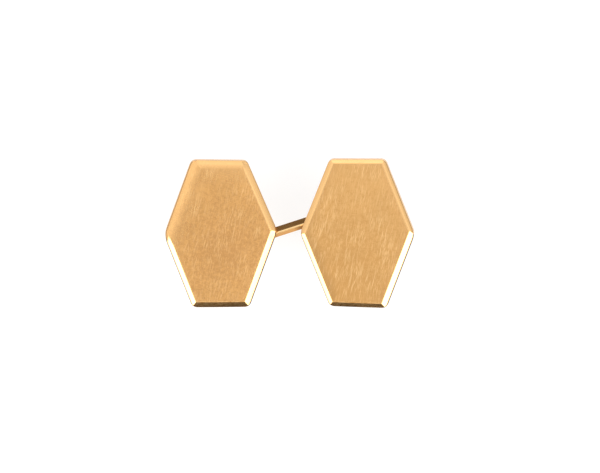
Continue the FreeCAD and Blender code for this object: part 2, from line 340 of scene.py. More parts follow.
@dataclass(frozen=True)
class SatinGold:
    """Rolled gold sheet, rubbed with fine emery on the face and burnished on the filed bevel.

    The eye sees a soft glow on the face, with a painted sheen, fine grain and scratches that lean a little to
    the right, clean mirror flashes on the bevel, and a thin dark line of painted shade where the bevel turns
    into the rim.
    """

    name: str
    face: str
    face_worn: str
    streak: str
    streak_strength: float
    seed: float
    # The face is painted lighter away from one spot, a painted sheen for how the light falls across it: where
    # the spot is in the head's own frame, the change of brightness for each millimetre from it, and the
    # distance at which it is average
    shade_spot: tuple[float, float, float]
    sheen_slope: float
    sheen_reach: float
    bevel: str = "F0C083"
    filed: str = "D09A58"
    # Painted shade: dark brown along the foot of the bevel, where it turns into the rim
    tarnish_and_shade: str = "4E3C2C"
    # Roughness of each place, from the least mottled to the most
    face_roughness: tuple[float, float] = (0.28, 0.32)
    bevel_roughness: tuple[float, float] = (0.10, 0.18)
    mottle: Marks = Marks(1.6, 1.6, detail=2.0, faint=0.3, full=0.7)
    grain: Marks = Marks(0.13, 0.13, shift=7.0)
    blotch: Marks = Marks(0.35, 0.35, shift=13.0)
    # Grain and blotch add up to about 1, and over this range on either side the face goes from dull to bright
    average_wear: float = 1.0
    wear_range: float = 0.35
    # Emery scratches are some 10 microns wide: they are drawn eight times as wide, so that they show
    scratches: tuple[Marks, ...] = (
        Marks(0.08, 1.0, 4.0, shift=3.0, faint=0.56, full=0.76),
        Marks(0.08, 1.7, 11.0, shift=20.0, faint=0.56, full=0.76),
        Marks(0.08, 1.2, 19.0, shift=37.0, faint=0.56, full=0.76),
    )
    scratch_depth: float = 0.01
    scratch_relief: float = 0.2
    # Scratches lie in bunches, and a share of their strength is left in between
    bunches: Marks = Marks(2.0, 3.0, shift=11.0, faint=0.35, full=0.65)
    between_bunches: float = 0.35
    # File marks run along the foot of the face, drawn some three times as wide as they are
    file_marks: Marks = Marks(0.45, 0.12, shift=5.0, faint=0.4, full=0.65)

    def material(self) -> Material:
        """Builds the material; the mesh tells the burnished places, with their painted highlight, and the
        painted shade from the satin.

        Returns:
            The material.
        """
        made = new_metal(self.name)
        tree = made.node_tree
        burnish_and_highlight, painted_shade, filed = (
            add_node(tree, "Attribute", attribute_name=layer).outputs["Fac"]
            for layer in ("burnish_and_highlight", "painted_shade", "filed")
        )
        scratched = self.scratched(tree)
        cuts = {0: filed, 1: self.file_marks.shown(tree, self.seed)}
        cut = add_node(tree, "Math", cuts, operation="MULTIPLY").outputs[0]
        bright = {"Factor": cut, "A": linear(self.bevel), "B": linear(self.filed)}
        burnished = add_node(tree, "Mix", bright, data_type="RGBA")
        colour: Socket | Colour = linear(self.face_worn)
        # Layers over the worn face: painted sheen, scratches, burnish with its painted highlight, then
        # painted shade
        for share, over in (
            (self.sheen_and_wear(tree), linear(self.face)),
            (scratched, linear(self.streak)),
            (burnish_and_highlight, burnished.outputs["Result"]),
            (painted_shade, linear(self.tarnish_and_shade)),
        ):
            layers = {"Factor": share, "A": colour, "B": over}
            colour = add_node(tree, "Mix", layers, data_type="RGBA").outputs["Result"]
        on_face = self.mottle.shown(tree, self.seed, *self.face_roughness)
        on_bevel = self.mottle.shown(tree, self.seed, *self.bevel_roughness)
        mottled = {"Factor": burnish_and_highlight, "A": on_face, "B": on_bevel}
        rough = add_node(tree, "Mix", mottled, data_type="FLOAT")
        relief = {"Strength": self.scratch_relief, "Distance": self.scratch_depth * MM, "Height": scratched}
        bump = add_node(tree, "Bump", relief)
        feed_metal(made, colour, rough.outputs["Result"], bump.outputs["Normal"])
        return made

    def sheen_and_wear(self, tree: Tree) -> Socket:
        """How bright the face is, by its worn grain and by a painted sheen that grows with the distance from
        one spot.

        Args:
            tree: node tree that takes the nodes.

        Returns:
            A share from 0, dull, to 1, bright.
        """
        grain, blotch = self.grain.height(tree, self.seed), self.blotch.height(tree, self.seed)
        wear = add_node(tree, "Math", {0: grain, 1: blotch}, operation="ADD")
        place = add_node(tree, "Attribute", attribute_name="bench").outputs["Vector"]
        away = add_node(tree, "VectorMath", {0: place, 1: self.shade_spot}, operation="DISTANCE")
        rubs = {0: away.outputs["Value"], 1: self.sheen_slope, 2: wear.outputs[0]}
        total = add_node(tree, "Math", rubs, operation="MULTIPLY_ADD").outputs[0]
        average = self.average_wear + self.sheen_slope * self.sheen_reach
        low, high = average - self.wear_range, average + self.wear_range
        span = {"Value": total, "From Min": low, "From Max": high}
        return add_node(tree, "MapRange", span, interpolation_type="SMOOTHSTEP").outputs[0]

    def scratched(self, tree: Tree) -> Socket:
        """Lays the emery scratches over each other, in bunches.

        Args:
            tree: node tree that takes the nodes.

        Returns:
            How strongly a scratch shows, from 0 to 1.
        """
        weakest = self.between_bunches * self.streak_strength
        strength = self.bunches.shown(tree, self.seed, weakest, self.streak_strength)
        deepest: Socket | float = 0.0
        for lay in self.scratches:
            pair = {0: deepest, 1: lay.shown(tree, self.seed)}
            deepest = add_node(tree, "Math", pair, operation="MAXIMUM").outputs[0]
        return add_node(tree, "Math", {0: deepest, 1: strength}, operation="MULTIPLY").outputs[0]


@dataclass(frozen=True)
class PolishedGold:
    """Rolled gold sheet, polished on a mop: a bright mirror, a little hazy, with fine hairlines from wear."""

    name: str = "polished_rolled_gold"
    colour: str = "EDBD80"
    dulled: str = "DDA967"
    # Roughness from the clean mirror to the deepest scuff
    roughness: tuple[float, float] = (0.2, 0.35)
    haze: Marks = Marks(3.0, 3.0, detail=3.0, shift=1.7, faint=0.4, full=0.7)
    haze_strength: float = 0.6
    # Hairlines are drawn about ten times as wide as they are, so that they show
    hairlines: Marks = Marks(0.12, 2.2, 62.0, shift=4.1, faint=0.6, full=0.8)
    hairline_strength: float = 0.5
    hairline_depth: float = 0.01
    hairline_relief: float = 0.15

    def material(self, name_end: str) -> Material:
        """Builds the material for one plate.

        Args:
            name_end: last part of the material's name.

        Returns:
            The material.
        """
        made = new_metal(f"{self.name}_{name_end}")
        tree = made.node_tree
        haze = self.haze.shown(tree, strongest=self.haze_strength)
        lines = self.hairlines.shown(tree, strongest=self.hairline_strength)
        scuffs = add_node(tree, "Math", {0: haze, 1: lines}, operation="MAXIMUM").outputs[0]
        shades = {"Factor": scuffs, "A": linear(self.colour), "B": linear(self.dulled)}
        colour = add_node(tree, "Mix", shades, data_type="RGBA")
        clean, worst = self.roughness
        ends = {"Value": scuffs, "To Min": clean, "To Max": worst}
        rough = add_node(tree, "MapRange", ends, interpolation_type="SMOOTHSTEP")
        height = self.hairlines.height(tree)
        relief = {"Strength": self.hairline_relief, "Distance": self.hairline_depth * MM, "Height": height}
        bump = add_node(tree, "Bump", relief)
        feed_metal(made, colour.outputs["Result"], rough.outputs[0], bump.outputs["Normal"])
        return made


@dataclass(frozen=True)
class DrawnGold:
    """Gold wire pulled through a drawplate.

    The eye sees faint lines along the wire, dull patches of tarnish, a painted highlight on the upper and
    lower ridge of the square bar, and painted brown shade on the bar, strongest where the heads lie over it.
    """

    name: str = "drawn_gold_wire"
    colour: str = "E3AB68"
    # Painted highlight: pale gold on the bar's ridges
    sheen_and_wear: str = "FFD698"
    # Dull tarnish, in random patches along the wire
    tarnish_and_shade: str = "B97F3F"
    # Painted shade: dark brown for the shadow of the heads on the bar
    painted_shade: str = "7A4C10"
    # Roughness from the smoothest lines to the roughest
    roughness: tuple[float, float] = (0.12, 0.20)
    draw_lines: Marks = Marks(0.1, 5.0, detail=2.0, shift=2.3, faint=0.3, full=0.7)
    line_depth: float = 0.01
    line_relief: float = 0.2
    patches: Marks = Marks(1.3, 1.3, detail=3.0, shift=9.1, faint=0.5, full=0.75)
    patch_strength: float = 0.7

    def material(self, lay: Lay, name_end: str) -> Material:
        """Builds the material for wire of one direction; the mesh tells where shade and a highlight are
        painted on it.

        Args:
            lay: direction of the wire.
            name_end: last part of the material's name.

        Returns:
            The material.
        """
        made = new_metal(f"{self.name}_{name_end}")
        tree = made.node_tree
        painted_shade, burnish_and_highlight = (
            add_node(tree, "Attribute", attribute_name=layer).outputs["Fac"]
            for layer in ("painted_shade", "burnish_and_highlight")
        )
        patches = self.patches.shown(tree, strongest=self.patch_strength)
        colour: Socket | Colour = linear(self.colour)
        for share, code in ((patches, self.tarnish_and_shade), (painted_shade, self.painted_shade), (burnish_and_highlight, self.sheen_and_wear)):
            layers = {"Factor": share, "A": colour, "B": linear(code)}
            colour = add_node(tree, "Mix", layers, data_type="RGBA").outputs["Result"]
        lines = replace(self.draw_lines, lay_deg=lay.value)
        height = lines.height(tree)
        relief = {"Strength": self.line_relief, "Distance": self.line_depth * MM, "Height": height}
        bump = add_node(tree, "Bump", relief)
        smoothest, roughest = self.roughness
        rough = lines.shown(tree, weakest=smoothest, strongest=roughest)
        feed_metal(made, colour, rough, bump.outputs["Normal"])
        return made


# Heads


@dataclass(frozen=True)
class Edge:
    """One edge of a face as it was filed: bevel, its tilt, softness of the crease, rounding, painted shade on
    its rim.

    A crisp crease is burnished bright along its line. Along a soft one, the bevel's burnished colour is
    carried thinly into the face as a painted highlight that fades further in. Painted shade lies on the face
    along some creases. The file's marks are left at the foot.
    """

    bevel: float
    tilt_deg: float
    crease: float
    rounding: float
    # Strength of the painted shade on the rim below this edge
    painted_shade: float
    # Least burnish that a crease keeps; on a soft crease it is a painted highlight on the face
    line: float = 1.0
    # Strength of the burnish along this crease, and of its painted highlight on the face
    burnish_and_highlight: float = 1.0
    filed: float = 0.0
    # How far the burnish fades into the face; on a soft crease this is a painted highlight
    fade: float = 0.08
    # Painted shade on the face along this crease
    painted_crease_shade: float = 0.0


@dataclass(frozen=True)
class HeadShape:
    """How one head came off the bench.

    Corners run counter-clockwise from the upper right one. Edges run counter-clockwise from the top one:
    top, upper left, lower left, bottom, lower right, upper right.
    """

    corners: tuple[tuple[float, float], ...]
    radii: tuple[float, ...]
    edges: tuple[Edge, ...]
    finish: SatinGold


SHAPES = {
    Side.LEFT: HeadShape(
        corners=((2.92, 7.85), (-2.94, 8.02), (-5.95, -0.03), (-3.00, -7.92), (3.08, -8.02), (6.12, 0.22)),
        radii=(0.65, 0.8, 2.2, 0.75, 0.75, 2.0),
        edges=(
            Edge(0.56, 29, 0.50, 0.04, 0.0, line=0.35, burnish_and_highlight=0.8, fade=1.6),
            Edge(0.66, 36, 0.80, 0.13, 0.2, line=0.3, burnish_and_highlight=0.48, fade=1.2),
            Edge(0.53, 28, 0.05, 0.12, 1.0),
            Edge(0.65, 28.5, 0.04, 0.04, 0.6, filed=1.0),
            Edge(0.70, 26, 0.04, 0.17, 1.0),
            Edge(0.65, 28, 0.08, 0.08, 0.1),
        ),
        finish=SatinGold(
            name="satin_brushed_gold_left",
            face="D19F62",
            face_worn="BF8E58",
            streak="E6BB82",
            streak_strength=0.65,
            seed=2.0,
            shade_spot=(0.5, -1.7, 2.36),
            sheen_slope=0.05,
            sheen_reach=4.0,
        ),
    ),
    Side.RIGHT: HeadShape(
        corners=((2.88, 8.06), (-3.03, 7.99), (-6.17, 0.03), (-2.98, -7.92), (3.08, -8.02), (6.06, 0.08)),
        radii=(0.7, 0.7, 1.4, 0.75, 0.75, 1.8),
        edges=(
            Edge(0.36, 38, 0.05, 0.04, 0.0),
            Edge(0.51, 31, 0.07, 0.06, 0.1, painted_crease_shade=0.06),
            Edge(0.46, 28, 0.04, 0.10, 1.0, painted_crease_shade=0.14),
            Edge(0.54, 29.5, 0.04, 0.04, 0.9, filed=1.0),
            Edge(0.66, 26, 0.04, 0.165, 1.0),
            Edge(0.42, 38, 0.08, 0.08, 0.15),
        ),
        finish=SatinGold(
            name="satin_brushed_gold_right",
            face="D4A468",
            face_worn="C9985C",
            streak="EEC48B",
            streak_strength=0.8,
            seed=31.0,
            shade_spot=(-3.0, -7.0, 2.36),
            sheen_slope=0.052,
            sheen_reach=8.3,
        ),
    ),
}


class Outline:
    """A head's hexagon in plan, which can be drawn at any inset with its corners rounded."""

    EDGES = 6
    ARC_STEPS = 8
    EDGE_STEPS = 12
    LEAST_RADIUS = 0.05
    # The mitre between two bevels is found by halving, and stays this far from the ends of a corner's arc
    MITRE_HALVINGS = 20
    MITRE_MARGIN = 0.2

    def __init__(self, shape: HeadShape) -> None:
        """Keeps the hexagon's lines.

        Args:
            shape: corners and bevels of the head.
        """
        self.shape = shape
        self.corners = [Vector((x, y, 0)) for x, y in shape.corners]
        ends = self.corners[1:] + self.corners[:1]
        self.along = [(stop - start).normalized() for start, stop in zip(self.corners, ends)]
        self.inward = [Vector((-way.y, way.x, 0)) for way in self.along]

    def edge_height(self, edge: int, point: Vector) -> float:
        """Height of one edge's bevel over a point, below the face.

        Args:
            edge: number of the edge.
            point: point in plan.

        Returns:
            Zero on the flat of the face, and less than zero on the bevel.
        """
        inset = (point - self.corners[edge]).dot(self.inward[edge])
        width = self.shape.edges[edge].bevel
        soft = self.shape.edges[edge].crease
        if inset >= width + soft:
            return 0.0
        slope = math.tan(math.radians(self.shape.edges[edge].tilt_deg))
        if inset <= width - soft:
            return -slope * (width - inset)
        return -slope * (width + soft - inset) ** 2 / (4 * soft)

    def lift(self, point: Vector) -> Vector:
        """Raises a point in plan onto the face or the lowest bevel over it."""
        height = min(self.edge_height(edge, point) for edge in range(self.EDGES))
        return Vector((point.x, point.y, height))

    def edge_of(self, index: int) -> Edge:
        """The edge on whose side of the mitres a ring's point lies, by its place in the ring."""
        corner, place = divmod(index, self.ARC_STEPS + self.EDGE_STEPS)
        return self.shape.edges[corner if place >= self.ARC_STEPS // 2 else corner - 1]

    def corner_arc(self, corner: int, insets: Sequence[float], radius: float) -> Ring:
        """Rounds one corner, with the middle point on the mitre between its two bevels.

        Args:
            corner: number of the corner.
            insets: inset of each of the six edges.
            radius: radius of the corner.

        Returns:
            Points in plan, counter-clockwise.
        """
        before = (corner - 1) % self.EDGES
        way_in, way_out = self.along[before], self.along[corner]
        start = self.corners[corner] + self.inward[before] * insets[before]
        stop = self.corners[corner] + self.inward[corner] * insets[corner]
        reach = (stop - start).cross(way_out).z / way_in.cross(way_out).z
        tip = start + way_in * reach
        turn = way_in.angle(way_out)
        run = radius * math.tan(turn / 2)
        centre = tip + way_out * run + self.inward[corner] * radius
        spoke = tip - way_in * run - centre

        def at(share: float) -> Vector:
            """Point at a share of the arc."""
            return centre + Matrix.Rotation(turn * share, 3, "Z") @ spoke

        low, high = 0.0, 1.0
        for _ in range(self.MITRE_HALVINGS):
            middle = (low + high) / 2
            point = at(middle)
            if self.edge_height(before, point) < self.edge_height(corner, point):
                low = middle
            else:
                high = middle
        mitre = min(max(low, self.MITRE_MARGIN), 1 - self.MITRE_MARGIN)
        half = self.ARC_STEPS // 2
        shares = [mitre * step / half for step in range(half)]
        shares += [mitre + (1 - mitre) * step / half for step in range(half + 1)]
        return [at(share) for share in shares]

    def ring(self, insets: Sequence[float], radii: Sequence[float]) -> Ring:
        """Draws the hexagon in plan.

        Args:
            insets: inset of each of the six edges.
            radii: radius of each of the six corners.

        Returns:
            Points in plan, counter-clockwise from the upper right corner.
        """
        arcs = [self.corner_arc(corner, insets, radii[corner]) for corner in range(self.EDGES)]
        points: Ring = []
        for arc, after in zip(arcs, arcs[1:] + arcs[:1]):
            points += arc
            points += [arc[-1].lerp(after[0], step / self.EDGE_STEPS) for step in range(1, self.EDGE_STEPS)]
        return points

    def even_ring(self, inset: float, height: float) -> Ring:
        """Draws the hexagon at one inset and one height."""
        radii = [max(radius - inset, self.LEAST_RADIUS) for radius in self.shape.radii]
        return [Vector((point.x, point.y, height)) for point in self.ring([inset] * self.EDGES, radii)]


@dataclass(frozen=True)
class Band:
    """One ring of a face tray below the level of its face, with the burnish, painted highlight and painted
    shade along it.

    Satin is not burnished. Elsewhere an edge may be burnished and highlighted more than the band is, along
    its line.
    """

    ring: Ring
    satin: bool = False
    burnish_and_highlight: float = 1.0
    painted_shade: float = 0.0
    painted_crease_shade: float = 0.0


@dataclass
class Head:
    """One head: face tray, back plate and bow."""

    CREASE_STEPS: ClassVar[int] = 6
    ROUND_STEPS: ClassVar[int] = 6
    BEND_STEPS: ClassVar[int] = 12
    FLARE_STEPS: ClassVar[int] = 6
    HOLE_POINTS: ClassVar[int] = 32
    WIRE_POINTS: ClassVar[int] = 28

    side: Side
    bevel_depth: float = 0.34
    # What a soft crease leaves of a bevel, at the least
    least_bevel: float = 0.04
    rim_depth: float = 0.42
    sheet: float = 0.32
    # The hollow starts to close in at this share of the rim's height, and ends this far inside the bevels
    hollow_start: float = 0.55
    hollow_margin: float = 0.1
    # The rounding of the rim takes this off the corners' radii
    corner_loss: float = 0.05
    back: float = 0.38
    back_edge: float = 0.12
    # Inset of the plate's flat, as a multiple of the rounding of its edge
    back_flat: float = 1.6
    seam: float = 0.025
    vent: float = 0.6
    vent_offset: float = 5.4
    peg_clearance: float = 0.02
    peg_chamfer: float = 0.04
    bow_wire: float = 0.8
    bow_span: float = 7.7
    bow_rise: float = 1.22
    bow_bend: float = 0.7
    solder_flare: float = 0.2
    solder_height: float = 0.26
    # Power of the fillet's curve, which hollows it
    solder_hollow: float = 2.2
    # Painted shade comes in fast at the foot of the bevel and fades off down the rim: its two slopes over the
    # rounding, what stays on the rim, and how far below the rounding it has faded off
    rim_shade_onset: float = 4.0
    rim_shade_loss: float = 2.2
    rim_shade_left: float = 0.2
    rim_shade_reach: float = 0.05
    # How far the painted shade along a crease spreads into the satin
    crease_shade_reach: float = 1.1

    def __post_init__(self) -> None:
        """Finds the head's own frame from its joint and its face mount."""
        self.name = self.side.value
        self.body = f"{self.name}_head"
        self.shape = SHAPES[self.side]
        self.outline = Outline(self.shape)
        joint = next(item for item in frame["joints"] if item["child"] == self.body)
        mounts = frame["record"]["mounts"]
        mount = next(item for item in mounts if item["name"] == f"{self.name}_face_flat")
        axis = Vector(joint["axis"])
        along = (axis if axis.y > 0 else -axis).normalized()
        facing = Vector(mount["axis"]).normalized()
        self.place = Matrix((along.cross(facing), along, facing)).transposed().to_4x4()
        self.place.translation = Vector(joint["pos_m"])
        self.face_level = self.bow_rise + self.back + self.rim_depth + self.bevel_depth

    def build(self) -> list[Piece]:
        """Builds and dresses the three pieces of the head.

        Returns:
            Face tray, back plate and bow.
        """
        return [self.build_face(), self.build_back_plate(), self.build_bow()]

    def crease_bands(self) -> list[Band]:
        """The flat of the face and its crease, soft or crisp, down to the bevel.

        Returns:
            Bands in order, from the inside out.
        """
        outline, edges = self.outline, self.shape.edges
        sharp = [outline.LEAST_RADIUS] * outline.EDGES
        satin = [edge.bevel + edge.crease + edge.fade for edge in edges]
        # Painted shade lies in the satin next to each crease, and fades out towards the clean satin inside
        clean = [inset + self.crease_shade_reach for inset in satin]
        bands = [
            Band(outline.ring(clean, sharp), satin=True),
            Band(outline.ring(satin, sharp), satin=True, painted_crease_shade=1.0),
        ]
        for step in range(self.CREASE_STEPS + 1):
            share = step / self.CREASE_STEPS
            insets = [
                (edge.bevel + edge.crease) * (1 - share)
                + max(edge.bevel - edge.crease, edge.rounding + self.least_bevel) * share
                for edge in edges
            ]
            ring = [outline.lift(point) for point in outline.ring(insets, sharp)]
            bands.append(Band(ring, burnish_and_highlight=math.sqrt(share), painted_crease_shade=1 - share))
        return bands

    def rounding_bands(self) -> list[Band]:
        """The small rounding from the foot of the bevel to the rim.

        Returns:
            Bands in order, from the bevel down.
        """
        outline, edges, radii = self.outline, self.shape.edges, self.shape.radii
        rim = outline.ring([0.0] * outline.EDGES, radii)
        foot_radii = [radius - self.corner_loss for radius in radii]
        foot = outline.ring([edge.rounding for edge in edges], foot_radii)
        bands = []
        for step in range(self.ROUND_STEPS + 1):
            share = step / self.ROUND_STEPS
            ring = []
            for low, high in zip(rim, foot):
                corner = outline.lift(low)
                under = corner - Vector((0, 0, (high - low).length))
                ring.append(outline.lift(high).lerp(corner, share).lerp(corner.lerp(under, share), share))
            # Painted shade along the rounding: dark at the foot of the bevel, fading down the rim
            worn_off = self.rim_shade_left + self.rim_shade_loss * (1 - share)
            bands.append(Band(ring, painted_shade=min(self.rim_shade_onset * share, 1.0, worn_off)))
        below = [point - Vector((0, 0, self.rim_shade_reach)) for point in bands[-1].ring]
        bands.append(Band(below, painted_shade=self.rim_shade_left))
        return bands

    def hollow_bands(self) -> list[Band]:
        """The foot of the rim and the hollow inside the tray.

        Returns:
            Bands in order, from the rim inwards.
        """
        foot = -self.bevel_depth - self.rim_depth
        widest = max(edge.bevel for edge in self.shape.edges)
        places = (
            (0.0, foot + self.seam),
            (self.seam, foot),
            (self.sheet, foot),
            (self.sheet, foot + self.rim_depth * self.hollow_start),
            (widest + self.hollow_margin, -self.sheet),
        )
        rings = [self.outline.even_ring(inset, level) for inset, level in places]
        # The rim's foot and the hollow keep a little of the painted shade
        return [Band(ring, painted_shade=self.rim_shade_left) for ring in rings]

    def build_face(self) -> Piece:
        """Makes the pressed tray: flat face, soft or crisp crease, filed bevel, rim, and the hollow inside.

        Returns:
            The tray.
        """
        bands = self.crease_bands() + self.rounding_bands() + self.hollow_bands()
        up = Vector((0, 0, self.face_level))
        mesh = bmesh.new()
        burnish_and_highlight, painted_shade, filed = (mesh.verts.layers.float.new(layer) for layer in ("burnish_and_highlight", "painted_shade", "filed"))
        rows = skin(mesh, [[point + up for point in band.ring] for band in bands])
        for band, row in zip(bands, rows):
            for index, vert in enumerate(row):
                edge = self.outline.edge_of(index)
                vert[burnish_and_highlight] = 0.0 if band.satin else max(band.burnish_and_highlight, edge.line) * edge.burnish_and_highlight
                # Painted shade: at the rim, and on the face along some creases
                vert[painted_shade] = band.painted_shade * edge.painted_shade + band.painted_crease_shade * edge.painted_crease_shade
                vert[filed] = edge.filed
        mesh.faces.new(rows[0])
        mesh.faces.new(rows[-1])
        piece = make_piece(mesh, f"{self.name}_face_tray", self.place, Crease.PRESSED)
        seat(piece, self.body, f"{self.name}_face", self.shape.finish.material())
        return piece

    def build_back_plate(self) -> Piece:
        """Makes the back plate with its soft edge, two peg holes and a vent.

        Returns:
            The back plate.
        """
        outline = self.outline
        foot, top = self.bow_rise, self.bow_rise + self.back
        rings = [
            outline.even_ring(self.seam, top),
            outline.even_ring(0, top - self.seam),
        ]
        for step in range(self.ROUND_STEPS + 1):
            turn = QUARTER_TURN * step / self.ROUND_STEPS
            inset = self.back_edge * (1 - math.cos(turn))
            rings.append(outline.even_ring(inset, foot + self.back_edge * (1 - math.sin(turn))))
        rings.append(outline.even_ring(self.back_flat * self.back_edge, foot))
        mesh = bmesh.new()
        rows = skin(mesh, rings)
        upper = loop_edges(mesh, rows[0])
        lower = loop_edges(mesh, rows[-1])
        across, along = Vector((1, 0, 0)), Vector((0, 1, 0))
        peg = self.bow_wire / 2 + self.peg_clearance
        half_span = self.bow_span / 2
        for offset, radius in ((half_span, peg), (-half_span, peg), (self.vent_offset, self.vent / 2)):
            wall = [
                circle(Vector((0, offset, level)), across, along, radius, self.HOLE_POINTS)
                for level in (top, foot)
            ]
            hole = skin(mesh, wall)
            upper += loop_edges(mesh, hole[0])
            lower += loop_edges(mesh, hole[1])
        for edges in (upper, lower):
            bmesh.ops.triangle_fill(mesh, edges=edges, use_beauty=True)
        piece = make_piece(mesh, f"{self.name}_back_cover", self.place, Crease.PLATE)
        finish = PolishedGold().material(self.name)
        seat(piece, self.body, f"{self.name}_back_plate", finish)
        return piece

    def bow_route(self) -> list[tuple[Vector, Vector, float]]:
        """Middle of the bow's wire, from one peg to the other.

        Returns:
            Point, direction and radius at each station.
        """
        radius = self.bow_wire / 2
        half_span = self.bow_span / 2
        top = self.bow_rise + self.back
        leg = [
            (top - self.peg_chamfer, radius - self.peg_chamfer),
            (top - 2 * self.peg_chamfer, radius),
            (self.bow_rise, radius),
        ]
        for step in range(self.FLARE_STEPS + 1):
            share = step / self.FLARE_STEPS
            flare = self.solder_flare * (1 - share) ** self.solder_hollow
            leg.append((self.bow_rise - self.solder_height * share, radius + flare))
        stations = [(Vector((0, half_span, level)), Vector((0, 0, -1)), width) for level, width in leg]
        for step in range(self.BEND_STEPS + 1):
            turn = QUARTER_TURN * step / self.BEND_STEPS
            offset = half_span - self.bow_bend * (1 - math.cos(turn))
            point = Vector((0, offset, self.bow_bend * (1 - math.sin(turn))))
            stations.append((point, Vector((0, -math.sin(turn), -math.cos(turn))), radius))
        # Along the crossbar: halfway to its middle, and the middle
        for share in (0.5, 0.0):
            point = Vector((0, (half_span - self.bow_bend) * share, 0))
            stations.append((point, Vector((0, -1, 0)), radius))
        mirrored = [
            (Vector((0, -point.y, point.z)), Vector((0, way.y, -way.z)), width)
            for point, way, width in reversed(stations[:-1])
        ]
        return stations + mirrored

    def build_bow(self) -> Piece:
        """Makes the wire bow with a hollow fillet of solder at each foot.

        Returns:
            The bow.
        """
        across = Vector((1, 0, 0))
        rings = [
            circle(point, across, across.cross(way), width, self.WIRE_POINTS)
            for point, way, width in self.bow_route()
        ]
        mesh = bmesh.new()
        rows = skin(mesh, rings)
        mesh.faces.new(rows[0])
        mesh.faces.new(rows[-1])
        piece = make_piece(mesh, f"{self.name}_wire_bow", self.place, Crease.WIRE)
        finish = DrawnGold().material(Lay.ALONG_Y, f"{self.name}_bow")
        seat(piece, self.body, f"{self.name}_bow", finish)
        return piece


# Link


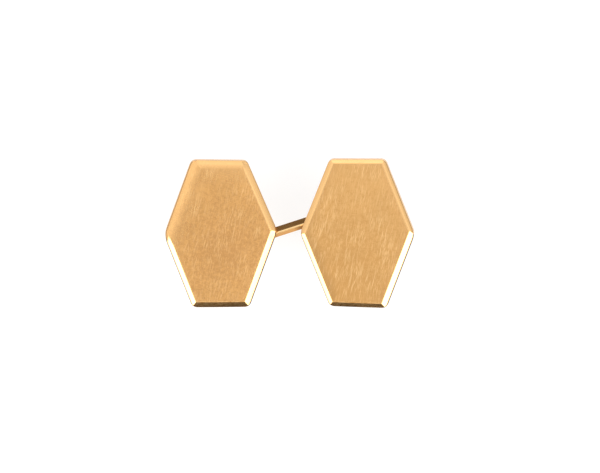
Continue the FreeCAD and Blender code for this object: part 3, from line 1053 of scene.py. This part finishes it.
@dataclass
class Link:
    """The bar between the heads, with an eye soldered into each end."""

    RIDGE_POINTS: ClassVar[int] = 5
    FLAT_SHARES: ClassVar[tuple[float, ...]] = (0.12, 0.5, 0.88)
    # Shares of the section at which the notched end of the bar is drawn, from the middle out
    NOTCH_SHARES: ClassVar[tuple[float, ...]] = (0.06, 0.3, 0.6, 0.85, 1.0)
    EYE_STEPS: ClassVar[int] = 72
    EYE_ARC_STEPS: ClassVar[int] = 12

    length: float = 15.81
    bar_width: float = 0.8
    bar_colour: str = "D09A5C"
    # The bar's ridges in turn, from the upper one towards the foot of the heads: radius and painted
    # highlight.
    # The flat after each ridge takes a share of the painted shade
    ridge_radii: tuple[float, ...] = (0.1, 0.05, 0.1, 0.05)
    painted_ridge_highlight: tuple[float, ...] = (1.0, 0.2, 1.0, 0.0)
    flat_painted_shade: tuple[float, ...] = (1.0, 0.6, 0.4, 0.15)
    # Painted shade at distances from the middle of the bar, strongest where the heads lie over it
    painted_shade_at: tuple[tuple[float, float], ...] = (
        (-3.6, 0.2),
        (-2.2, 0.8),
        (-1.3, 0.0),
        (0.45, 0.0),
        (0.95, 0.55),
        (1.5, 1.0),
        (2.6, 0.8),
        (3.8, 0.2),
    )
    # The bar is plain from this far behind the eye's wire
    neck: float = 0.6
    eye_hole: float = 1.16
    eye_wire: float = 0.44
    eye_edge: float = 0.06
    # Solder swells the eye's wire to its sides, and by a share of that outwards
    solder_gap: float = 0.01
    solder_swell: float = 0.05
    solder_outwards: float = 0.3
    solder_spread_deg: float = 28.0

    def __post_init__(self) -> None:
        """Finds the link's own frame from the bar's mount and the bows' direction."""
        mounts = frame["record"]["mounts"]
        mount = next(item for item in mounts if item["name"] == "cuff_bar")
        bow = Vector(frame["joints"][0]["axis"])
        along = Vector(mount["axis"]).normalized()
        up = along.cross(bow if bow.y > 0 else -bow).normalized()
        self.place = Matrix((along, up.cross(along), up)).transposed().to_4x4()
        self.place.translation = Vector(mount["pos_m"])
        self.eye_radius = (self.eye_hole + self.eye_wire) / 2

    def build(self) -> list[Piece]:
        """Builds and dresses the bar and the two eyes.

        Returns:
            Bar, left eye and right eye.
        """
        return [self.build_bar(), self.build_eye(Side.LEFT, -1), self.build_eye(Side.RIGHT, 1)]

    def bar_section(self) -> Ring:
        """The square bar's section set on edge, with its four ridges rounded.

        Returns:
            Points in the section's plane, counter-clockwise.
        """
        arcs: list[Ring] = []
        for number, radius in enumerate(self.ridge_radii):
            flat = self.bar_width / 2 - radius
            start = QUARTER_TURN * (number + 0.5)
            centre = Matrix.Rotation(start, 3, "X") @ Vector((0, flat, flat))
            steps = range(self.RIDGE_POINTS)
            turns = [start + QUARTER_TURN * step / (self.RIDGE_POINTS - 1) for step in steps]
            arcs.append([centre + Vector((0, math.cos(turn), math.sin(turn))) * radius for turn in turns])
        points: Ring = []
        for arc, after in zip(arcs, arcs[1:] + arcs[:1]):
            points += arc
            points += [arc[-1].lerp(after[0], share) for share in self.FLAT_SHARES]
        return points

    def bar_end(self, point: Vector) -> float:
        """How far from the eye's middle the notched end of the bar stops.

        Args:
            point: point of the section.

        Returns:
            Distance along the bar from the middle of the eye.
        """
        seat_radius = self.eye_wire / 2 + self.solder_gap
        depth = math.sqrt(max(seat_radius**2 - point.y**2, 0.0))
        return math.sqrt((self.eye_radius + depth) ** 2 - point.z**2)

    def bar_cap(self, section: Ring, end: int) -> list[Ring]:
        """One end of the bar, notched round the wire of its eye.

        Args:
            section: section of the bar.
            end: -1 for the left end, 1 for the right one.

        Returns:
            Rings from the middle of the notch to the plain bar.
        """
        half = self.length / 2
        cap: list[Ring] = []
        for share in self.NOTCH_SHARES:
            scaled = [point * share for point in section]
            stops = [end * (half - self.bar_end(point)) for point in scaled]
            cap.append([Vector((stop, point.y, point.z)) for stop, point in zip(stops, scaled)])
        plain = end * (half - self.eye_radius - self.neck)
        cap.append([Vector((plain, point.y, point.z)) for point in section])
        return cap

    def build_bar(self) -> Piece:
        """Makes the square rod with an end that seats round the wire of each eye.

        Returns:
            The bar.
        """
        section = self.bar_section()
        left, right = self.bar_cap(section, -1), self.bar_cap(section, 1)
        middle = [[Vector((along, point.y, point.z)) for point in section] for along, _ in self.painted_shade_at]
        clean = [0.0] * len(left)
        tarnish_and_shade = [level for _, level in self.painted_shade_at]
        mesh = bmesh.new()
        burnish_and_highlight, painted_shade = (mesh.verts.layers.float.new(layer) for layer in ("burnish_and_highlight", "painted_shade"))
        rows = skin(mesh, left + middle + right[::-1])
        # Each row takes its level of painted shade; the ridges take their painted highlight
        for row, level in zip(rows, clean + tarnish_and_shade + clean):
            for index, vert in enumerate(row):
                ridge, place = divmod(index, self.RIDGE_POINTS + len(self.FLAT_SHARES))
                vert[burnish_and_highlight] = self.painted_ridge_highlight[ridge] if place < self.RIDGE_POINTS else 0.0
                vert[painted_shade] = level * self.flat_painted_shade[ridge]
        mesh.faces.new(rows[0])
        mesh.faces.new(rows[-1])
        piece = make_piece(mesh, "link_square_bar", self.place, Crease.WIRE)
        finish = DrawnGold(colour=self.bar_colour).material(Lay.ALONG_X, "bar")
        seat(piece, "link", "link_bar", finish)
        return piece

    def eye_profile(self, swell: float) -> list[tuple[float, float]]:
        """Section of the eye's D-shaped wire, flat towards the hole.

        Args:
            swell: thickness of the solder on it.

        Returns:
            Distance from the eye's middle and level to the side, for each point.
        """
        half = self.eye_wire / 2
        hole = self.eye_hole / 2
        profile = [
            (hole + self.eye_edge, -half),
            (hole, self.eye_edge - half),
            (hole, 0.0),
            (hole, half - self.eye_edge),
            (hole + self.eye_edge, half),
        ]
        for step in range(self.EYE_ARC_STEPS + 1):
            lean = math.pi * (0.5 - step / self.EYE_ARC_STEPS)
            outwards = (half + swell * self.solder_outwards) * math.cos(lean)
            profile.append((hole + half + outwards, (half + swell) * math.sin(lean)))
        return profile

    def build_eye(self, side: Side, end: int) -> Piece:
        """Makes one eye: a ring of D-section wire, flat inside, swollen with solder where the bar meets it.

        Args:
            side: which end of the bar.
            end: -1 for the left end, 1 for the right one.

        Returns:
            The eye.
        """
        centre = Vector((end * self.length / 2, 0, 0))
        spread = math.radians(self.solder_spread_deg)
        rings: list[Ring] = []
        for step in range(self.EYE_STEPS):
            turn = 2 * math.pi * step / self.EYE_STEPS
            out = Vector((-end * math.cos(turn), 0, math.sin(turn)))
            from_bar = min(turn, 2 * math.pi - turn)
            profile = self.eye_profile(self.solder_swell * math.exp(-((from_bar / spread) ** 2)))
            rings.append([centre + out * reach + Vector((0, level, 0)) for reach, level in profile])
        mesh = bmesh.new()
        skin(mesh, rings, looped=True)
        piece = make_piece(mesh, f"{side.value}_wire_eye", self.place, Crease.WIRE)
        finish = DrawnGold().material(Lay.ALONG_Y, f"{side.value}_eye")
        seat(piece, "link", f"{side.value}_eye_ring", finish)
        return piece


# Studio


@dataclass(frozen=True)
class Softbox:
    """A round soft light far away, given by where it stands and how bright it looks."""

    azimuth_deg: float
    elevation_deg: float
    spread_deg: float
    soft_deg: float
    brightness: float

    def direction(self) -> Vector:
        """Unit vector towards the light."""
        turn, rise = math.radians(self.azimuth_deg), math.radians(self.elevation_deg)
        return Vector((math.cos(rise) * math.cos(turn), math.cos(rise) * math.sin(turn), math.sin(rise)))


@dataclass
class Studio:
    """White table, a pale tent with soft lights, and the camera over it."""

    # The table lies just under the lowest point that a head reaches when it is folded back
    floor_drop: float = 3.0
    floor_reach: float = 3000.0
    floor_albedo: float = 0.3
    floor_glow: float = 0.745
    # The tent's light near the table and overhead, and the rise, as a sine, at which each ends
    horizon_light: float = 0.14
    horizon_rise: float = 0.12
    zenith_light: float = 1.0
    zenith_rise: float = 0.8
    softboxes: tuple[Softbox, ...] = (
        Softbox(-142, 31, 22, 5, 4.0),
        Softbox(-38, 33, 22, 5, 4.0),
        Softbox(175, 22, 14, 6, 0.65),
        Softbox(3, 31, 13, 6, 0.57),
        Softbox(97, 28, 11, 4, 0.95),
        Softbox(75, 50, 17, 7, 0.3),
        Softbox(55, 68, 14, 8, 0.2),
        Softbox(165, 56, 14, 7, 0.4),
        Softbox(140, 82, 11, 6, 0.45),
    )
    lens: float = 150.0
    sensor: float = 36.0
    # What the camera takes in across the faces, and the pixel at which it shows the middle of the object
    view_width: float = 63.62
    view_from: tuple[float, float, float] = (0.04, 0.09, 0.995)
    object_pixel: tuple[float, float] = (288.85, 233.95)
    face_height: float = 3.3
    nearest: float = 10.0
    farthest: float = 20000.0

    def build(self) -> None:
        """Sets up the table, the light and the camera."""
        bpy.context.scene.view_settings.view_transform = "Standard"
        self.build_floor(self.white_card())
        self.build_light()
        self.build_camera()

    def white_card(self) -> Material:
        """Makes the table's card: matt, so it keeps the shadow, and white to the camera and in reflections.

        Returns:
            The material.
        """
        made = bpy.data.materials.new("matt_white_card")
        made.use_nodes = True
        tree = made.node_tree
        tree.nodes.clear()
        path = add_node(tree, "LightPath")
        seen = path.outputs["Is Camera Ray"]
        for output in ("Is Glossy Ray", "Is Transmission Ray"):
            rays = {0: seen, 1: path.outputs[output]}
            seen = add_node(tree, "Math", rays, operation="MAXIMUM").outputs[0]
        glow = add_node(tree, "Math", {0: seen, 1: self.floor_glow}, operation="MULTIPLY")
        shade = (self.floor_albedo, self.floor_albedo, self.floor_albedo, 1.0)
        matt = add_node(tree, "BsdfDiffuse", {"Color": shade})
        light = add_node(tree, "Emission", {"Color": WHITE, "Strength": glow.outputs[0]})
        both = add_node(tree, "AddShader", {0: matt.outputs[0], 1: light.outputs[0]})
        add_node(tree, "OutputMaterial", {"Surface": both.outputs[0]})
        return made

    def build_floor(self, finish: Material) -> None:
        """Lays the table under the part.

        Args:
            finish: white card.
        """
        name = "white_table"
        mesh = bmesh.new()
        corners = [
            Vector((x * self.floor_reach, y * self.floor_reach, -self.floor_drop))
            for x, y in ((-1, -1), (1, -1), (1, 1), (-1, 1))
        ]
        mesh.faces.new([mesh.verts.new(corner * MM) for corner in corners])
        data = bpy.data.meshes.new(name)
        mesh.to_mesh(data)
        mesh.free()
        data.materials.append(finish)
        table = bpy.data.objects.new(name, data)
        bpy.context.scene.collection.objects.link(table)

    def build_light(self) -> None:
        """Paints the tent round the table: darker near the table, pale overhead, with soft lights in it."""
        world = bpy.data.worlds.new("studio_tent")
        bpy.context.scene.world = world
        world.use_nodes = True
        tree = world.node_tree
        tree.nodes.clear()
        way = add_node(tree, "TexCoord").outputs["Generated"]
        rise = add_node(tree, "SeparateXYZ", {0: way}).outputs["Z"]
        # Each light: a measure, its value at the light's rim and in its core, and the brightness at both
        lights = [(rise, self.horizon_rise, self.zenith_rise, self.horizon_light, self.zenith_light)]
        for box in self.softboxes:
            aim = {0: way, 1: box.direction()}
            near = add_node(tree, "VectorMath", aim, operation="DOT_PRODUCT").outputs["Value"]
            rim = math.cos(math.radians(box.spread_deg + box.soft_deg))
            core = math.cos(math.radians(box.spread_deg - box.soft_deg))
            lights.append((near, rim, core, 0.0, box.brightness))
        total: Socket | float = 0.0
        for light in lights:
            steps = dict(zip(("Value", "From Min", "From Max", "To Min", "To Max"), light))
            level = add_node(tree, "MapRange", steps, interpolation_type="SMOOTHSTEP")
            pair = {0: total, 1: level.outputs[0]}
            total = add_node(tree, "Math", pair, operation="ADD").outputs[0]
        sky = add_node(tree, "Background", {"Color": WHITE, "Strength": total})
        add_node(tree, "OutputWorld", {"Surface": sky.outputs[0]})

    def build_camera(self) -> None:
        """Places the camera at the photograph's viewing angle and framing."""
        data = bpy.data.cameras.new("camera")
        data.lens = self.lens
        data.sensor_width = self.sensor
        data.sensor_fit = "HORIZONTAL"
        data.clip_start = self.nearest * MM
        data.clip_end = self.farthest * MM
        camera = bpy.data.objects.new("camera", data)
        bpy.context.scene.collection.objects.link(camera)
        back = Vector(self.view_from).normalized()
        right = Vector((0, 1, 0)).cross(back).normalized()
        up = back.cross(right)
        pixel = self.view_width / PHOTO_WIDTH
        low, high = CAD_BOX
        middle = (low + high) / 2 / MM
        middle.z = self.face_height
        aim = middle + right * ((PHOTO_WIDTH / 2 - self.object_pixel[0]) * pixel)
        aim -= up * ((PHOTO_HEIGHT / 2 - self.object_pixel[1]) * pixel)
        distance = self.view_width * self.lens / self.sensor
        camera.matrix_world = Matrix((right, up, back)).transposed().to_4x4()
        camera.location = (aim + back * distance) * MM
        bpy.context.scene.camera = camera


def main() -> None:
    """Builds the heads, the link and the studio, and logs each piece's face count and material."""
    logging.basicConfig(level=logging.INFO, format="%(message)s")
    for assembly in (Head(Side.LEFT), Head(Side.RIGHT), Link()):
        for piece in assembly.build():
            log.info("%s: %d faces, %s", piece.name, len(piece.data.polygons), piece.active_material.name)
    Studio().build()
    bpy.context.view_layer.update()


if __name__ == "__main__":
    main()
